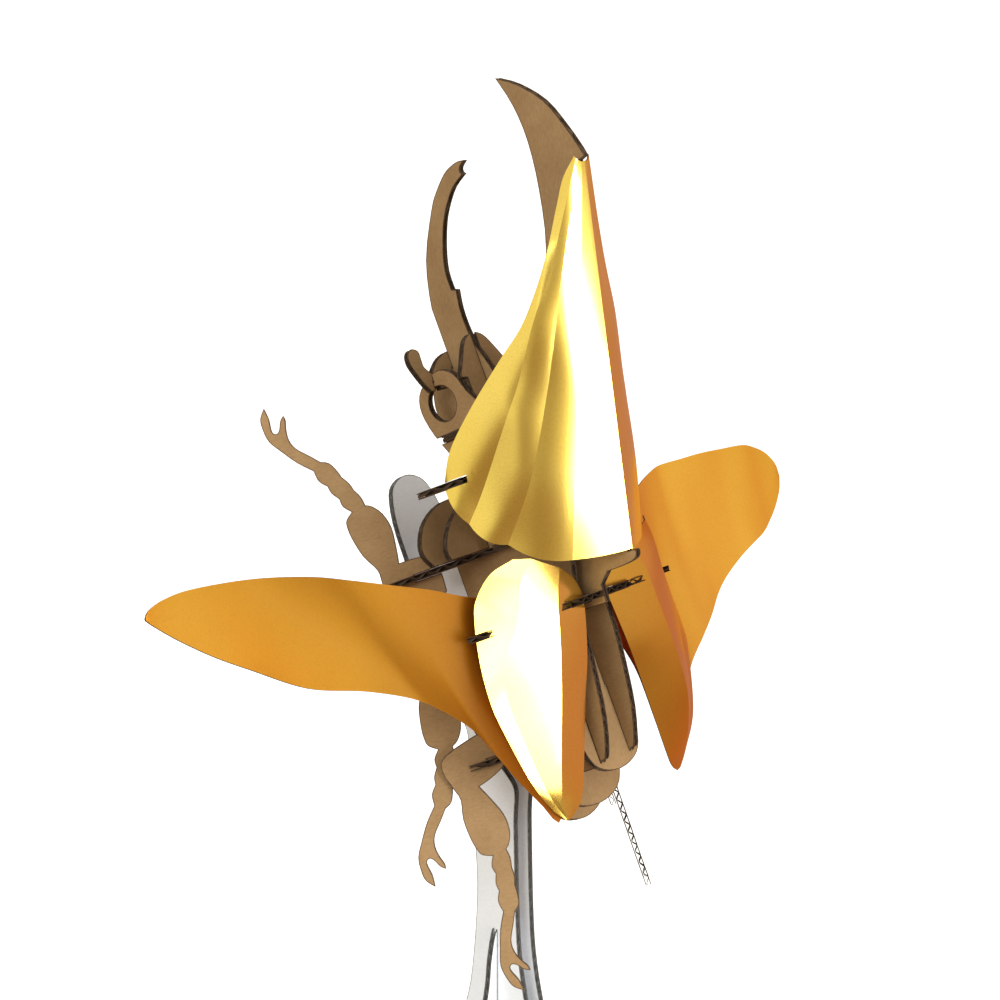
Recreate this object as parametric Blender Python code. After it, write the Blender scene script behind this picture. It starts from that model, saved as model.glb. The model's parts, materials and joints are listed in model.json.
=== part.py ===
"""Hercules beetle put together from slotted corrugated board and folded gold card.

The beetle leans back on a stand of white board. Flat boards cross in three directions and
interlock with slots. Each board is drawn as an outline on its own plane, given a thickness,
and slotted where another board crosses it. The card pieces are lofted between fold lines.

World frame: metres, +Z up, the beetle's horns lean towards +Y, origin under the stand's base.
Beetle frame, for all of its boards: x to the beetle's right, y towards the head, z to its back.
Sizes below are in millimetres and are scaled to metres as the meshes are made.
"""
import math

import bmesh
import bpy
from mathutils import Euler, Matrix, Vector

MM = 0.001

# Driving sizes
BOARD = 3.0                # thickness of the corrugated board
CARD = 0.6                 # thickness of the gold card
GAP = 0.3                  # play left between neighbouring pieces
LEAN = 27.0                # lean of the body's axis from the vertical, degrees
BODY_AT = (0.0, -42.2, 297.9)   # beetle frame's origin, where its waist is
BACK_SLOPE = 0.3063        # rise of the pronotum's ridge towards the head

# Planes of the boards across the body, along its length
HANGER_Y = 73.0            # carries the front of the pronotum
FRONT_Y = 38.0             # carries the front legs
WAIST_Y = 0.0              # carries the wing cases and the middle legs
HIND_Y = -60.0             # carries the hind legs
HEAD_Y = 98.0              # ties the head's plates together

# Planes of the upright boards and of the level boards
RIB_X = 11.0
EYE_X = 16.0
TONGUE_Z = (-5.0, -27.0, -40.0)
FEELER_Z = -20.0
CRADLE_Z = -80.0
LEG_ROOT_Z = -15.5         # where the planes of the legs meet under the back
HIND_ROOT_Z = -10.8        # the hind legs lie a board higher, clear of the middle ones
STAND_X = 5.4              # half the distance between the stand's side boards

# Slots
FAR = 400.0                # reach of a slot that runs out past a board's edge
DEEP = 6.0                 # half depth of a slot's cutter through a board
HALF_SLOT = BOARD / 2 + GAP

# Where the slots of two crossing boards meet, along the slot
BROW_MEET = 112.0
FEELER_MEETS = (131.0, 126.5)     # with the lower horn's board, with the eye boards
HEAD_TIE_MEET = -13.0
RIDGE_MEETS = (46.0, 28.0, 17.0)  # hanger, front and waist board with the upper horn's board
RIB_MEETS = (-8.0, -8.0, -48.0)   # front, waist and hind board with the ribs
TONGUE_MEET = -44.0
TONGUE_REACH = 45.0
CHEST_MEET = 53.0
CHEST_REACH = 30.0
LEG_MEET = 56.0            # out from the middle, along the leg's plane
FOOT_MEET = 60.0
CRADLE_MEET = 0.0

# Gold card: rows along the fold lines, and where its slots start or end, out from the middle
PRONOTUM_ROWS = 15
CASE_ROWS = 13
WING_COLUMNS = 17
WING_ROWS = 6
WING_BOW = 2.2             # how far a wing's card is dished
RIDGE_ENDS = (193.5, 15.6)  # the pronotum's ridge, from the horn to its rear edge
PRONOTUM_SLOT = 56.0
RIGHT_PRESS = 1.7          # the right side of the pronotum is pressed in a little by its horn
PRESS_AT = 143.0           # where along the body, and how far that reaches
PRESS_REACH = 22.0
CASE_SLOTS = (21.8, 65.8)
WING_SLOT = 30.5

# Legs
ARM_RISE = 10.5            # how far the top of a leg's arm stands above the leg's plane
LEG_AT = 60.0              # where a leg's outline is set, out from the middle
HIND_TURNS = (14.5, -9.0)  # left and right: the right one is set wider

# Stand
BASE_HALF = (78.0, 84.0)   # half sizes of the base
BASE_CORNER = 30.0
SIDE_LOW = BOARD + GAP     # the boards stand on the base
TABS = (-44.0, 30.0)       # middles of the tabs that enter the base
TAB_HALF = 8.0
TAB_LOW = 0.4


def wipe_scene():
    """Remove what is in the scene, so that only this model is left."""
    for thing in list(bpy.data.objects):
        bpy.data.objects.remove(thing, do_unlink=True)


def material(name, colour, roughness, metallic):
    """Make a Principled material."""
    made = bpy.data.materials.new(name)
    made.use_nodes = True
    shader = made.node_tree.nodes["Principled BSDF"]
    shader.inputs["Base Color"].default_value = (*colour, 1.0)
    shader.inputs["Roughness"].default_value = roughness
    shader.inputs["Metallic"].default_value = metallic
    return made


def ridge(y):
    """Height of the pronotum's ridge above the body's axis."""
    return 52.5 + BACK_SLOPE * (y - 14.8)


# Outlines: a pair is a point of a smooth curve, a third value "c" makes it a corner

def smooth(points, steps=3):
    """Close an outline: smooth curves through the plain points, broken at the corners."""
    count = len(points)
    outline = []
    for i, here in enumerate(points):
        there = points[(i + 1) % count]
        p1, p2 = Vector(here[:2]), Vector(there[:2])
        outline.append(tuple(p1))
        if len(here) > 2 and len(there) > 2:
            continue
        p0 = p1 if len(here) > 2 else Vector(points[i - 1][:2])
        p3 = p2 if len(there) > 2 else Vector(points[(i + 2) % count][:2])
        for step in range(1, steps):
            t = step / steps
            point = 0.5 * ((2 * p1) + (p2 - p0) * t + (2 * p0 - 5 * p1 + 4 * p2 - p3) * t * t
                           + (3 * p1 - p0 - 3 * p2 + p3) * t ** 3)
            outline.append(tuple(point))
    return outline


def both_sides(right_half):
    """Mirror a half outline, drawn from its lowest point on the centre line to its highest."""
    left = [(-p[0], *p[1:]) for p in reversed(right_half) if abs(p[0]) > 1e-6]
    return list(right_half) + left


def turned(points, degrees):
    """Turn an outline about its own origin."""
    c, s = math.cos(math.radians(degrees)), math.sin(math.radians(degrees))
    return [(p[0] * c - p[1] * s, p[0] * s + p[1] * c, *p[2:]) for p in points]


# Board planes: each gives the two directions that an outline is drawn along

def across(y):
    """Plane across the body: outlines are drawn in x and z."""
    return Matrix(((1, 0, 0, 0), (0, 0, -1, y * MM), (0, 1, 0, 0), (0, 0, 0, 1)))


def upright(x):
    """Plane along the body and upright: outlines are drawn in y and z."""
    return Matrix(((0, 0, 1, x * MM), (1, 0, 0, 0), (0, 1, 0, 0), (0, 0, 0, 1)))


def level(z):
    """Plane along the body and level: outlines are drawn in x and y."""
    return Matrix.Translation((0, 0, z * MM))


def leg_plane(side, forward, y, root):
    """Plane of a leg: outward and down at 45 degrees, and along the body."""
    out = Vector((side, 0, -1)).normalized()
    along = Vector((0, forward, 0))
    facing = out.cross(along)
    frame = Matrix((out, along, facing)).transposed().to_4x4()
    frame.translation = Vector((0, y, root)) * MM
    return frame


def new_object(name, mesh, frame, parent, finish):
    """Link a mesh as one named sub-part, placed by location and rotation under its parent."""
    thing = bpy.data.objects.new(name, mesh)
    bpy.context.scene.collection.objects.link(thing)
    thing.parent = parent
    thing.matrix_local = frame
    if finish:
        mesh.materials.append(finish)
    return thing


def board(name, outline, plane, parent, finish, hole=None):
    """Cut an outline from corrugated board and set it in its plane."""
    form = bmesh.new()
    ring = [form.verts.new((u * MM, v * MM, -BOARD / 2 * MM)) for u, v in smooth(outline)]
    face = form.faces.new(ring)
    raised = bmesh.ops.extrude_face_region(form, geom=[face])
    moved = [g for g in raised["geom"] if isinstance(g, bmesh.types.BMVert)]
    bmesh.ops.translate(form, verts=moved, vec=(0, 0, BOARD * MM))
    bmesh.ops.recalc_face_normals(form, faces=form.faces)
    mesh = bpy.data.meshes.new(name)
    form.to_mesh(mesh)
    form.free()
    thing = new_object(name, mesh, plane, parent, finish)
    if hole:
        cut_disc(thing, hole, plane)
    return thing


def cutter(thing, mesh, frame):
    """Take a hidden shape out of a piece."""
    tool = new_object(f"cut_{thing.name}_{len(thing.modifiers)}", mesh, frame, thing.parent, None)
    tool.hide_render = True
    tool.display_type = "WIRE"
    slot = thing.modifiers.new(f"slot_{len(thing.modifiers)}", "BOOLEAN")
    slot.operation = "DIFFERENCE"
    slot.solver = "EXACT"
    slot.object = tool


def cut_box(thing, low, high, frame=None):
    """Cut a box, given by two corners in the frame, out of a piece."""
    form = bmesh.new()
    bmesh.ops.create_cube(form, size=1.0)
    for vert in form.verts:
        for i in range(3):
            vert.co[i] = (low[i] if vert.co[i] < 0 else high[i]) * MM
    mesh = bpy.data.meshes.new("slot_shape")
    form.to_mesh(mesh)
    form.free()
    cutter(thing, mesh, frame or Matrix())


def cut_disc(thing, hole, plane):
    """Cut a round hole (centre u, v and half sizes) through a board."""
    u, v, half_u, half_v = hole
    form = bmesh.new()
    bmesh.ops.create_cone(form, cap_ends=True, segments=28, radius1=1.0, radius2=1.0, depth=4.0)
    bmesh.ops.scale(form, verts=form.verts, vec=(half_u * MM, half_v * MM, BOARD * MM))
    bmesh.ops.translate(form, verts=form.verts, vec=(u * MM, v * MM, 0))
    mesh = bpy.data.meshes.new("hole_shape")
    form.to_mesh(mesh)
    form.free()
    cutter(thing, mesh, plane)


def cross_over(upright_board, x, cross, y, meet, upright_on_top):
    """Half-lap along z of an upright board at x with a board across the body at y.

    The piece on top is slotted from below, the other from above, and they meet at one height.
    """
    above, below = (meet - GAP / 2, FAR), (-FAR, meet + GAP / 2)
    ends = below if upright_on_top else above
    cut_box(upright_board, (x - DEEP, y - HALF_SLOT, ends[0]), (x + DEEP, y + HALF_SLOT, ends[1]))
    ends = above if upright_on_top else below
    cut_box(cross, (x - HALF_SLOT, y - DEEP, ends[0]), (x + HALF_SLOT, y + DEEP, ends[1]))


def slide_in(tongue, upright_board, x, z, meet, opens, reach=FAR):
    """Half-lap along y of a level board at z with an upright board at x.

    The level board's slot opens towards the head where opens is 1, towards the rear at -1.
    """
    near, far = sorted((meet - opens * GAP / 2, meet + opens * reach))
    cut_box(tongue, (x - HALF_SLOT, near, z - DEEP), (x + HALF_SLOT, far, z + DEEP))
    near, far = sorted((meet + opens * GAP / 2, meet - opens * reach))
    cut_box(upright_board, (x - DEEP, near, z - HALF_SLOT), (x + DEEP, far, z + HALF_SLOT))


# Sheets of gold card

def sheet(name, columns, parent, finish):
    """Make a card sheet from columns of points, split alike on both faces."""
    form = bmesh.new()
    grid = [[form.verts.new(Vector(p) * MM) for p in column] for column in columns]
    for a, b in zip(grid, grid[1:]):
        for i in range(len(a) - 1):
            for corners in ((a[i], b[i], b[i + 1]), (a[i], b[i + 1], a[i + 1])):
                if len({tuple(round(c, 6) for c in v.co) for v in corners}) == 3:
                    form.faces.new(corners)
    bmesh.ops.remove_doubles(form, verts=form.verts, dist=1e-6)
    bmesh.ops.recalc_face_normals(form, faces=form.faces)
    form.normal_update()
    if sum(face.normal.z for face in form.faces) < 0:
        bmesh.ops.reverse_faces(form, faces=form.faces)
    form.normal_update()
    mesh = bpy.data.meshes.new(name)
    form.to_mesh(mesh)
    form.free()
    thing = new_object(name, mesh, Matrix(), parent, finish)
    wall = thing.modifiers.new("card", "SOLIDIFY")
    wall.thickness = CARD * MM
    wall.offset = 0.0
    wall.use_even_offset = False
    return thing


def curve_3d(points, count):
    """Points at even steps along a smooth open curve through the given ones."""
    p = [Vector(q) for q in points]
    p = [2 * p[0] - p[1]] + p + [2 * p[-1] - p[-2]]
    dense = []
    for i in range(1, len(p) - 2):
        for step in range(12):
            t = step / 12
            a, b, c, d = p[i - 1:i + 3]
            dense.append(0.5 * ((2 * b) + (c - a) * t + (2 * a - 5 * b + 4 * c - d) * t * t
                                + (3 * b - a - 3 * c + d) * t ** 3))
    dense.append(p[-2])
    lengths = [0.0]
    for a, b in zip(dense, dense[1:]):
        lengths.append(lengths[-1] + (b - a).length)
    made = []
    for k in range(count):
        goal = lengths[-1] * k / (count - 1)
        j = max(i for i in range(len(lengths)) if lengths[i] <= goal + 1e-9)
        if j == len(dense) - 1:
            made.append(dense[-1])
            continue
        share = (goal - lengths[j]) / (lengths[j + 1] - lengths[j])
        made.append(dense[j].lerp(dense[j + 1], share))
    return made


def between(first, second, swell):
    """A column half way between two, its last points swelled outward for a round edge."""
    count = len(first)
    made = []
    for i, (a, b) in enumerate(zip(first, second)):
        share = (i / (count - 1)) ** 6
        made.append((a + b) / 2 + Vector(swell) * share)
    return made


def mirrored(columns):
    """Columns of the other side."""
    return [[Vector((-p.x, p.y, p.z)) for p in column] for column in columns]


# Folds of the shield and its margin, from the horn to the rear, with the swell of each rear edge
PRONOTUM_FOLDS = (
    ([(1.6, 193.4, 106.9), (7.4, 153, 92.4), (13.1, 118, 78.8), (17.2, 89, 66.7), (22, 55, 53),
      (26, 19.8, 37.8)], (0, -0.6, -0.2)),
    ([(3.2, 194.2, 106.8), (15.7, 153.2, 88.2), (22.2, 126.9, 76.1), (27.9, 97.4, 60.4),
      (38, 62.1, 41.3), (46.3, 37, 20.8)], (1.4, -2.4, -1.0)),
    ([(4.4, 195.5, 107), (20.9, 150.8, 82.9), (30.4, 130.4, 69.9), (37.1, 106.7, 54.1),
      (42.7, 92.4, 43.7), (51, 65.4, 22), (57, 52.5, 11.5)], (1.6, -2.2, -1.2)),
    ([(5, 196.7, 106.7), (8.5, 189, 98.7), (12.6, 177.9, 92.8), (20.9, 157.8, 83.4),
      (28, 140.8, 72.5), (33.4, 129.9, 63.4), (40.3, 119.9, 51.3), (50.4, 103, 31.4),
      (58, 88, 17), (61, 74, 9)], (2.4, -0.8, -0.8)),
)


def shield_side(ridge_line, press):
    """Columns of the shield from beside its ridge to the margin, pressed in near the horn."""
    columns = []
    last = ridge_line
    for points, swell in PRONOTUM_FOLDS:
        pressed = []
        for x, y, z in points:
            give = press * math.exp(-((y - PRESS_AT) / PRESS_REACH) ** 2)
            pressed.append((x - give, y, z - give))
        fold = curve_3d(pressed, PRONOTUM_ROWS)
        columns += [between(last, fold, swell), fold]
        last = fold
    return columns


def pronotum(parent, finish):
    """The folded shield: a ridge, three folds a side that fan from the horn, and a margin."""
    start, end = RIDGE_ENDS
    steps = [start + (end - start) * i / (PRONOTUM_ROWS - 1) for i in range(PRONOTUM_ROWS)]
    ridge_line = [Vector((0, y, ridge(y))) for y in steps]
    left = mirrored(reversed(shield_side(ridge_line, 0.0)))
    columns = left + [ridge_line] + shield_side(ridge_line, RIGHT_PRESS)
    made = sheet("pronotum", columns, parent, finish)
    for side in (-1, 1):
        low, high = sorted((side * PRONOTUM_SLOT, side * FAR))
        cut_box(made, (low, HANGER_Y - HALF_SLOT, -60), (high, HANGER_Y + HALF_SLOT, 90))
    return made


def wing_case(side, parent, finish):
    """One wing case: inner edge, two folds and outer margin, mirrored for the left."""
    inner = curve_3d([(13, 12, 22), (8.8, 3, 19.6), (10.5, -8, 18.2), (15.5, -27, 14.8),
                      (21, -45, 9.8), (32.5, -86, -1.5), (37.5, -94.5, -5.5),
                      (42, -97.5, -7.5)], CASE_ROWS)
    fold_1 = curve_3d([(21, 18.5, 29.5), (27.5, 5, 29), (32, -16, 25.2), (37.5, -38, 20.2),
                       (43, -60, 13.5), (45, -78, 4.5), (44.5, -90, -3), (43, -97, -7.2)],
                      CASE_ROWS)
    fold_2 = curve_3d([(43, 27, 28.5), (50, 17.6, 23.4), (54.5, 1.8, 18.2), (63, -14, 10),
                       (66, -32, 5), (62, -58, 2.4), (55, -80, -2), (44, -96.8, -7.2)],
                      CASE_ROWS)
    margin = curve_3d([(49, 29.5, 23), (58, 26.4, 14.2), (65, 17.4, 6.8), (68.6, 8, 4.4),
                       (72, -10, 2.2), (73.4, -28, 1), (72, -42, 0.4), (63, -72, -2.4),
                       (52, -89, -6.2), (45, -96.2, -7.2)], CASE_ROWS)
    columns = [inner, between(inner, fold_1, (0, 0, 0)), fold_1,
               between(fold_1, fold_2, (0, 0, 0)), fold_2, between(fold_2, margin, (0, 0, 0)),
               margin]
    if side < 0:
        columns = mirrored(columns)
    word = "left" if side < 0 else "right"
    made = sheet(f"wing_case_{word}", columns, parent, finish)
    for near, far in ((0.0, CASE_SLOTS[0]), (CASE_SLOTS[1], FAR)):
        low, high = sorted((side * near, side * far))
        cut_box(made, (low, WAIST_Y - HALF_SLOT, -30), (high, WAIST_Y + HALF_SLOT, 60))
    return made


# Edges of the spread wings, outward from the body: the soft card is bent differently on each side
WING_EDGES = {
    "left": ([(19.5, 7, 7), (40, 13, 3.6), (60, 19, 0), (80, 29.2, -5.1), (100, 37.7, -9.1),
              (120, 45.7, -12), (138, 53, -16.6), (165, 60.4, -23.2), (196, 64.5, -27.7),
              (212, 64, -30), (222, 61.3, -30), (226, 58.2, -29)],
             [(19.5, -22, 5), (24, -31, 3.5), (30, -46, 1), (38, -80, -6), (46, -97, -10.2),
              (51, -86.4, -12.6), (58, -70.3, -15.8), (64, -56.8, -17), (71, -41.2, -18.7),
              (83, -26.2, -23), (95, -16.3, -26.5), (118, -5.8, -29), (150, 4.8, -30),
              (181, 21.9, -27.5), (198, 32.9, -28), (213, 45.2, -29.3), (222, 53.9, -30),
              (226, 57.4, -29)]),
    "right": ([(19.5, 7, 7), (40, 14, 3.6), (60, 24, -2), (80, 36, -10), (100, 46, -18),
               (118, 51.4, -22), (127, 53, -23), (141, 52.6, -20), (155, 52.2, -17.5),
               (170, 50.9, -15.6), (185, 49.1, -12.2), (193, 45.8, -11.5), (199, 41.3, -10.5),
               (203, 34, -9.5), (204, 27.4, -10.4)],
              [(19.5, -22, 5), (24, -31, 3.5), (30, -46, 1), (38, -80, -6), (46, -97, -10.2),
               (56, -82, -9), (66, -64, -6.6), (76, -50.1, -3.8), (88, -40, -1.5),
               (103, -30.9, -3.5), (118, -21.8, -7.2), (131, -15.3, -9.2), (148, -8.4, -10),
               (162, -3.5, -9.4), (174, 0.2, -9.8), (184, 5.3, -10.9), (192, 11, -10.9),
               (200, 19.1, -10.6), (204, 26.4, -10.4)]),
}


def wing(side, parent, finish):
    """One hind wing: a long curved card, its trailing lobe running back under the case."""
    word = "left" if side < 0 else "right"
    leading, trailing = (curve_3d(edge, WING_COLUMNS) for edge in WING_EDGES[word])
    columns = []
    for i, (a, b) in enumerate(zip(leading, trailing)):
        bow = WING_BOW * math.sin(math.pi * i / (WING_COLUMNS - 1))
        column = []
        for k in range(WING_ROWS):
            t = k / (WING_ROWS - 1)
            column.append(a.lerp(b, t) + Vector((0, 0, -4 * bow * t * (1 - t))))
        columns.append(column)
    if side < 0:
        columns = mirrored(columns)
    made = sheet(f"wing_{word}", columns, parent, finish)
    low, high = sorted((0, side * WING_SLOT))
    cut_box(made, (low, WAIST_Y - HALF_SLOT, -30), (high, WAIST_Y + HALF_SLOT, 40))
    return made


# Boards of the head and the horns, drawn in y and z

HORN = [(248.5, 73.8, "c"), (241, 85), (227.8, 97.4), (212, 104.6), (200, 108.6),
        (195.2, 109.6, "c"), (194.4, 105.6, "c"), (14.9, 50.9, "c"), (14.9, 53.5, "c"),
        (14.0, 56.2), (10.5, 54), (9.2, 46), (9.0, 34, "c"), (4, 27.3, "c"), (-5, 26.4, "c"),
        (-5, 8, "c"), (58, 5, "c"), (86, 12), (104, 27), (132, 48), (163.2, 67.1),
        (190.6, 75.9), (214.4, 79.6), (232.8, 78.4)]

HEAD = [(215.2, 32.8, "c"), (216.6, 31.6), (218.8, 32.3), (220.9, 36.3, "c"),
        (221.9, 32.6), (221.4, 27), (219.6, 21), (213.6, 12), (206.5, 4.6), (185.5, -10.5),
        (161.5, -18.4), (138.2, -20.8, "c"), (133.5, -28), (127, -35), (120, -38.4),
        (112, -39.5), (98, -36), (84, -27, "c"), (79, -14, "c"), (79, 4, "c"), (95, 9.2),
        (112, 9.0), (126, 5.8), (136, 1.8), (145, 0.2), (156, 0.2), (165.4, 2.2, "c"),
        (166.6, -0.8, "c"), (176, -0.5), (186.5, 3.2), (198, 9.6), (205.2, 15.8), (211.6, 23.6)]

EYE = [(130.9, -13), (128.5, -23), (123, -31.2), (114.5, -33.8), (102.4, -30.8),
       (89.4, -24.3), (80, -20, "c"), (78, 10, "c"), (92, 13), (105, 8.5), (115.9, 1),
       (126.2, -3.8)]
EYE_HOLE = (114.8, -17.6, 9.1, 9.6)

ANTENNAE = [(0, 122, "c"), (20.5, 122, "c"), (23.4, 126), (26, 131), (28.6, 137.5),
            (28, 142.6), (24.6, 145), (20.4, 143.2), (20.2, 138.6), (20, 134.6),
            (16.4, 130.8, "c"), (14, 133.4), (8, 137.8), (0, 139.9)]

BROW = [(0, 75.2, "c"), (13.6, 75.2, "c"), (13.9, 122, "c"), (17.4, 122.6), (17.2, 124.8),
        (14.6, 128.8), (9.6, 137), (6.2, 141), (2.4, 142.8), (0, 142.8)]

HEAD_TIE = [(0, -27, "c"), (15, -27), (20, -22), (20, -8), (15, -2.2, "c"), (0, -2.2, "c")]


def head(parent, kraft):
    """Both horns, the brow, the feelers and the plates with the eyes."""
    horn = board("horn_upper", HORN, upright(0), parent, kraft)
    skull = board("horn_lower", HEAD, upright(0), parent, kraft)
    brow = board("brow", both_sides(BROW), level(0), parent, kraft)
    feelers = board("antennae", both_sides(ANTENNAE), level(FEELER_Z), parent, kraft)
    tie = board("head_cross", both_sides(HEAD_TIE), across(HEAD_Y), parent, kraft)
    slide_in(brow, skull, 0, 0, BROW_MEET, 1)
    slide_in(feelers, skull, 0, FEELER_Z, FEELER_MEETS[0], -1)
    cross_over(skull, 0, tie, HEAD_Y, HEAD_TIE_MEET, True)
    for side, word in ((-1, "left"), (1, "right")):
        x = side * EYE_X
        eye = board(f"eye_{word}", EYE, upright(x), parent, kraft, EYE_HOLE)
        slide_in(feelers, eye, x, FEELER_Z, FEELER_MEETS[1], -1)
        cross_over(eye, x, tie, HEAD_Y, HEAD_TIE_MEET, True)
    return horn


# Boards across the body, drawn in x and z from the lowest point on the centre line

HANGER = [(0, -15, "c"), (14, -15, "c"), (15.5, 20), (24, 36), (40, 18), (52, 6), (63, -3.6),
          (67, -5), (68.6, -0.6), (63.5, 9), (57.4, 17.4, "c"), (54.6, 15, "c"), (48, 25),
          (34.5, 45.4), (19.4, 57.4), (0, 67.8, "c")]


def arm(x, offset, root=LEG_ROOT_Z):
    """A point of an arm: on the line of the leg's plane, raised or lowered by the offset."""
    return (x, root - x + offset)


FRONT_CROSS = [(0, -36, "c"), (14, -36, "c"), arm(24, -12), arm(40, -12), arm(48, -11),
               arm(51.5, -5), arm(52, 6), arm(48, ARM_RISE), arm(40, ARM_RISE),
               arm(26, ARM_RISE), (19, -20), (20, -6), (32, 4), (44, 8), (46.5, 13.5, "c"),
               (44.6, 21, "c"), (24, 42), (0, 56.6, "c")]

WAIST_CROSS = [(0, -38, "c"), (14, -38, "c"), arm(24, -12), arm(40, -12), arm(48, -11),
               arm(51.5, -5), arm(52, 6), arm(48, ARM_RISE), arm(40, ARM_RISE),
               arm(29, ARM_RISE), (27.5, -12), (28, 4), (38, 9), (52, 7), (62, 2),
               (70, -1.2), (74.4, 1.8), (72.5, 6), (69, 10, "c"), (66.4, 11.6, "c"),
               (66.2, 4.8, "c"), (60, 11), (53.6, 16.4), (42, 21.4), (28.6, 26.2), (21.5, 23, "c"),
               (21.4, 27, "c"), (0, 27, "c")]

HIND_CROSS = [(0, -60, "c"), (20, -60), arm(30, -15, HIND_ROOT_Z), arm(40, -12, HIND_ROOT_Z),
              arm(43.5, -11, HIND_ROOT_Z), arm(47, -6, HIND_ROOT_Z), arm(47.4, 5, HIND_ROOT_Z),
              arm(43.5, ARM_RISE, HIND_ROOT_Z), arm(36, ARM_RISE, HIND_ROOT_Z),
              arm(29, ARM_RISE, HIND_ROOT_Z), (23.8, -33, "c"), (23.8, -43.5, "c"),
              (0, -43.5, "c")]

# Upright ribs, drawn in y and z
RIB = [(-80.5, -38, "c"), (-80, -8), (-77.5, -2), (-75, 1.6), (-58, 8.2), (-37, 12.4),
       (-17, 15.2), (-3, 16.4), (20, 24), (44, 27), (58, 18), (66, 4, "c"), (66, -50, "c"),
       (60, -52), (20, -52), (-40, -52), (-70, -50)]

# Level tongues of the abdomen, drawn in x and y from the rear: tip, half width
TONGUES = ((-84.5, 21.4), (-98.5, 23.8), (-103.5, 21.0))


def tongue(tip, half):
    """Half outline of a board with a rounded rear end."""
    return [(0, tip), (half * 0.55, tip + 2.6), (half * 0.86, tip + 9), (half, tip + 22),
            (half, -40), (half * 0.93, -3.4, "c"), (0, -3.4, "c")]


CHEST_MID = [(0, 39.8, "c"), (40, 39.8, "c"), (41, 45), (37, 53), (29, 60.5), (18, 67),
             (0, 69)]
CHEST_LOW = [(0, 39.8, "c"), (40, 39.8, "c"), (44.5, 47), (42.5, 55), (35, 63.5), (21, 69.5),
             (0, 70)]


def trunk(parent, kraft, horn):
    """Boards across the body, ribs, tongues and chest boards, all slotted together."""
    hanger = board("cross_hanger", both_sides(HANGER), across(HANGER_Y), parent, kraft)
    front = board("cross_front", both_sides(FRONT_CROSS), across(FRONT_Y), parent, kraft)
    waist = board("cross_waist", both_sides(WAIST_CROSS), across(WAIST_Y), parent, kraft)
    hind = board("cross_hind", both_sides(HIND_CROSS), across(HIND_Y), parent, kraft)
    tongues = [board(f"abdomen_{i + 1}", both_sides(tongue(*TONGUES[i])), level(z), parent,
                     kraft) for i, z in enumerate(TONGUE_Z)]
    chest = [board("chest_mid", both_sides(CHEST_MID), level(TONGUE_Z[1]), parent, kraft),
             board("chest_low", both_sides(CHEST_LOW), level(TONGUE_Z[2]), parent, kraft)]
    crossings = ((hanger, HANGER_Y), (front, FRONT_Y), (waist, WAIST_Y))
    for (piece, y), meet in zip(crossings, RIDGE_MEETS):
        cross_over(horn, 0, piece, y, meet, True)
    for side, word in ((-1, "left"), (1, "right")):
        x = side * RIB_X
        rib = board(f"rib_{word}", RIB, upright(x), parent, kraft)
        cross_over(rib, x, front, FRONT_Y, RIB_MEETS[0], False)
        cross_over(rib, x, waist, WAIST_Y, RIB_MEETS[1], False)
        cross_over(rib, x, hind, HIND_Y, RIB_MEETS[2], True)
        for piece, z in zip(tongues, TONGUE_Z):
            slide_in(piece, rib, x, z, TONGUE_MEET, 1, TONGUE_REACH)
        for piece, z in zip(chest, TONGUE_Z[1:]):
            slide_in(piece, rib, x, z, CHEST_MEET, -1, CHEST_REACH)
    return front, waist, hind


# A leg, drawn from the point LEG_AT outward, and away from the board that carries it

LEG = [(38.7, 105.3, "c"), (42.1, 101), (42.8, 96), (41.9, 88.8), (37.6, 81.8), (32.2, 74.1),
       (25.8, 67.4, "c"), (25.1, 61.8), (21.8, 57.8, "c"), (21.1, 53.9), (18.4, 49.9, "c"),
       (18, 45.7), (14.7, 41.8, "c"), (18.3, 39), (19.4, 36), (19.1, 29.2), (16.7, 18.8),
       (12.4, 10.2), (12.3, 3.8), (12.2, -6), (7, -12), (-14, -12), (-17, -9), (-17, 4.6),
       (-14, 8.4), (-5.7, 9.8), (1, 9.8, "c"), (-0.3, 17.5), (-1.4, 27.9), (0.5, 36),
       (4.1, 41), (7.2, 42.8, "c"), (7.9, 47.5), (10, 51.9, "c"), (11.2, 56.1),
       (13.6, 60, "c"), (14.8, 64.1), (17.2, 68.7), (20.9, 70.6, "c"), (25, 75.3),
       (30.4, 81.3), (32.2, 86.6), (31.7, 91.9), (30.5, 96.2), (30.8, 98.7, "c"),
       (33.2, 96.5), (35, 92.7), (37, 91.2), (38.8, 93.2), (38.1, 99.6)]


def legs(parent, kraft, carriers):
    """Six legs of one outline, each slotted to the arm of a board across the body."""
    rows = (("front", 1, FRONT_Y, LEG_ROOT_Z, (0, 0), (0, 0)),
            ("middle", -1, WAIST_Y, LEG_ROOT_Z, (0, 0), (-0.8, 4)),
            ("hind", -1, HIND_Y, HIND_ROOT_Z, HIND_TURNS, (5.5, 0)))
    for (row, forward, y, root, turns, shift), carrier in zip(rows, carriers):
        for side, word, turn in ((-1, "left", turns[0]), (1, "right", turns[1])):
            outline = [(p[0] + LEG_AT + shift[0], p[1] + shift[1], *p[2:])
                       for p in turned(LEG, turn)]
            plane = leg_plane(side, forward, y, root)
            leg = board(f"leg_{row}_{word}", outline, plane, parent, kraft)
            cut_box(leg, (0, -HALF_SLOT, -DEEP), (LEG_MEET + GAP / 2, HALF_SLOT, DEEP), plane)
            cut_box(carrier, (LEG_MEET - GAP / 2, -DEEP, -HALF_SLOT),
                    (2 * LEG_AT, DEEP, HALF_SLOT), plane)


# The stand, in world millimetres

def in_world(y, z):
    """World y and z of a point given in the beetle frame's y and z."""
    s, c = math.sin(math.radians(LEAN)), math.cos(math.radians(LEAN))
    return (BODY_AT[1] + y * s - z * c, BODY_AT[2] + y * c + z * s)


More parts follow.
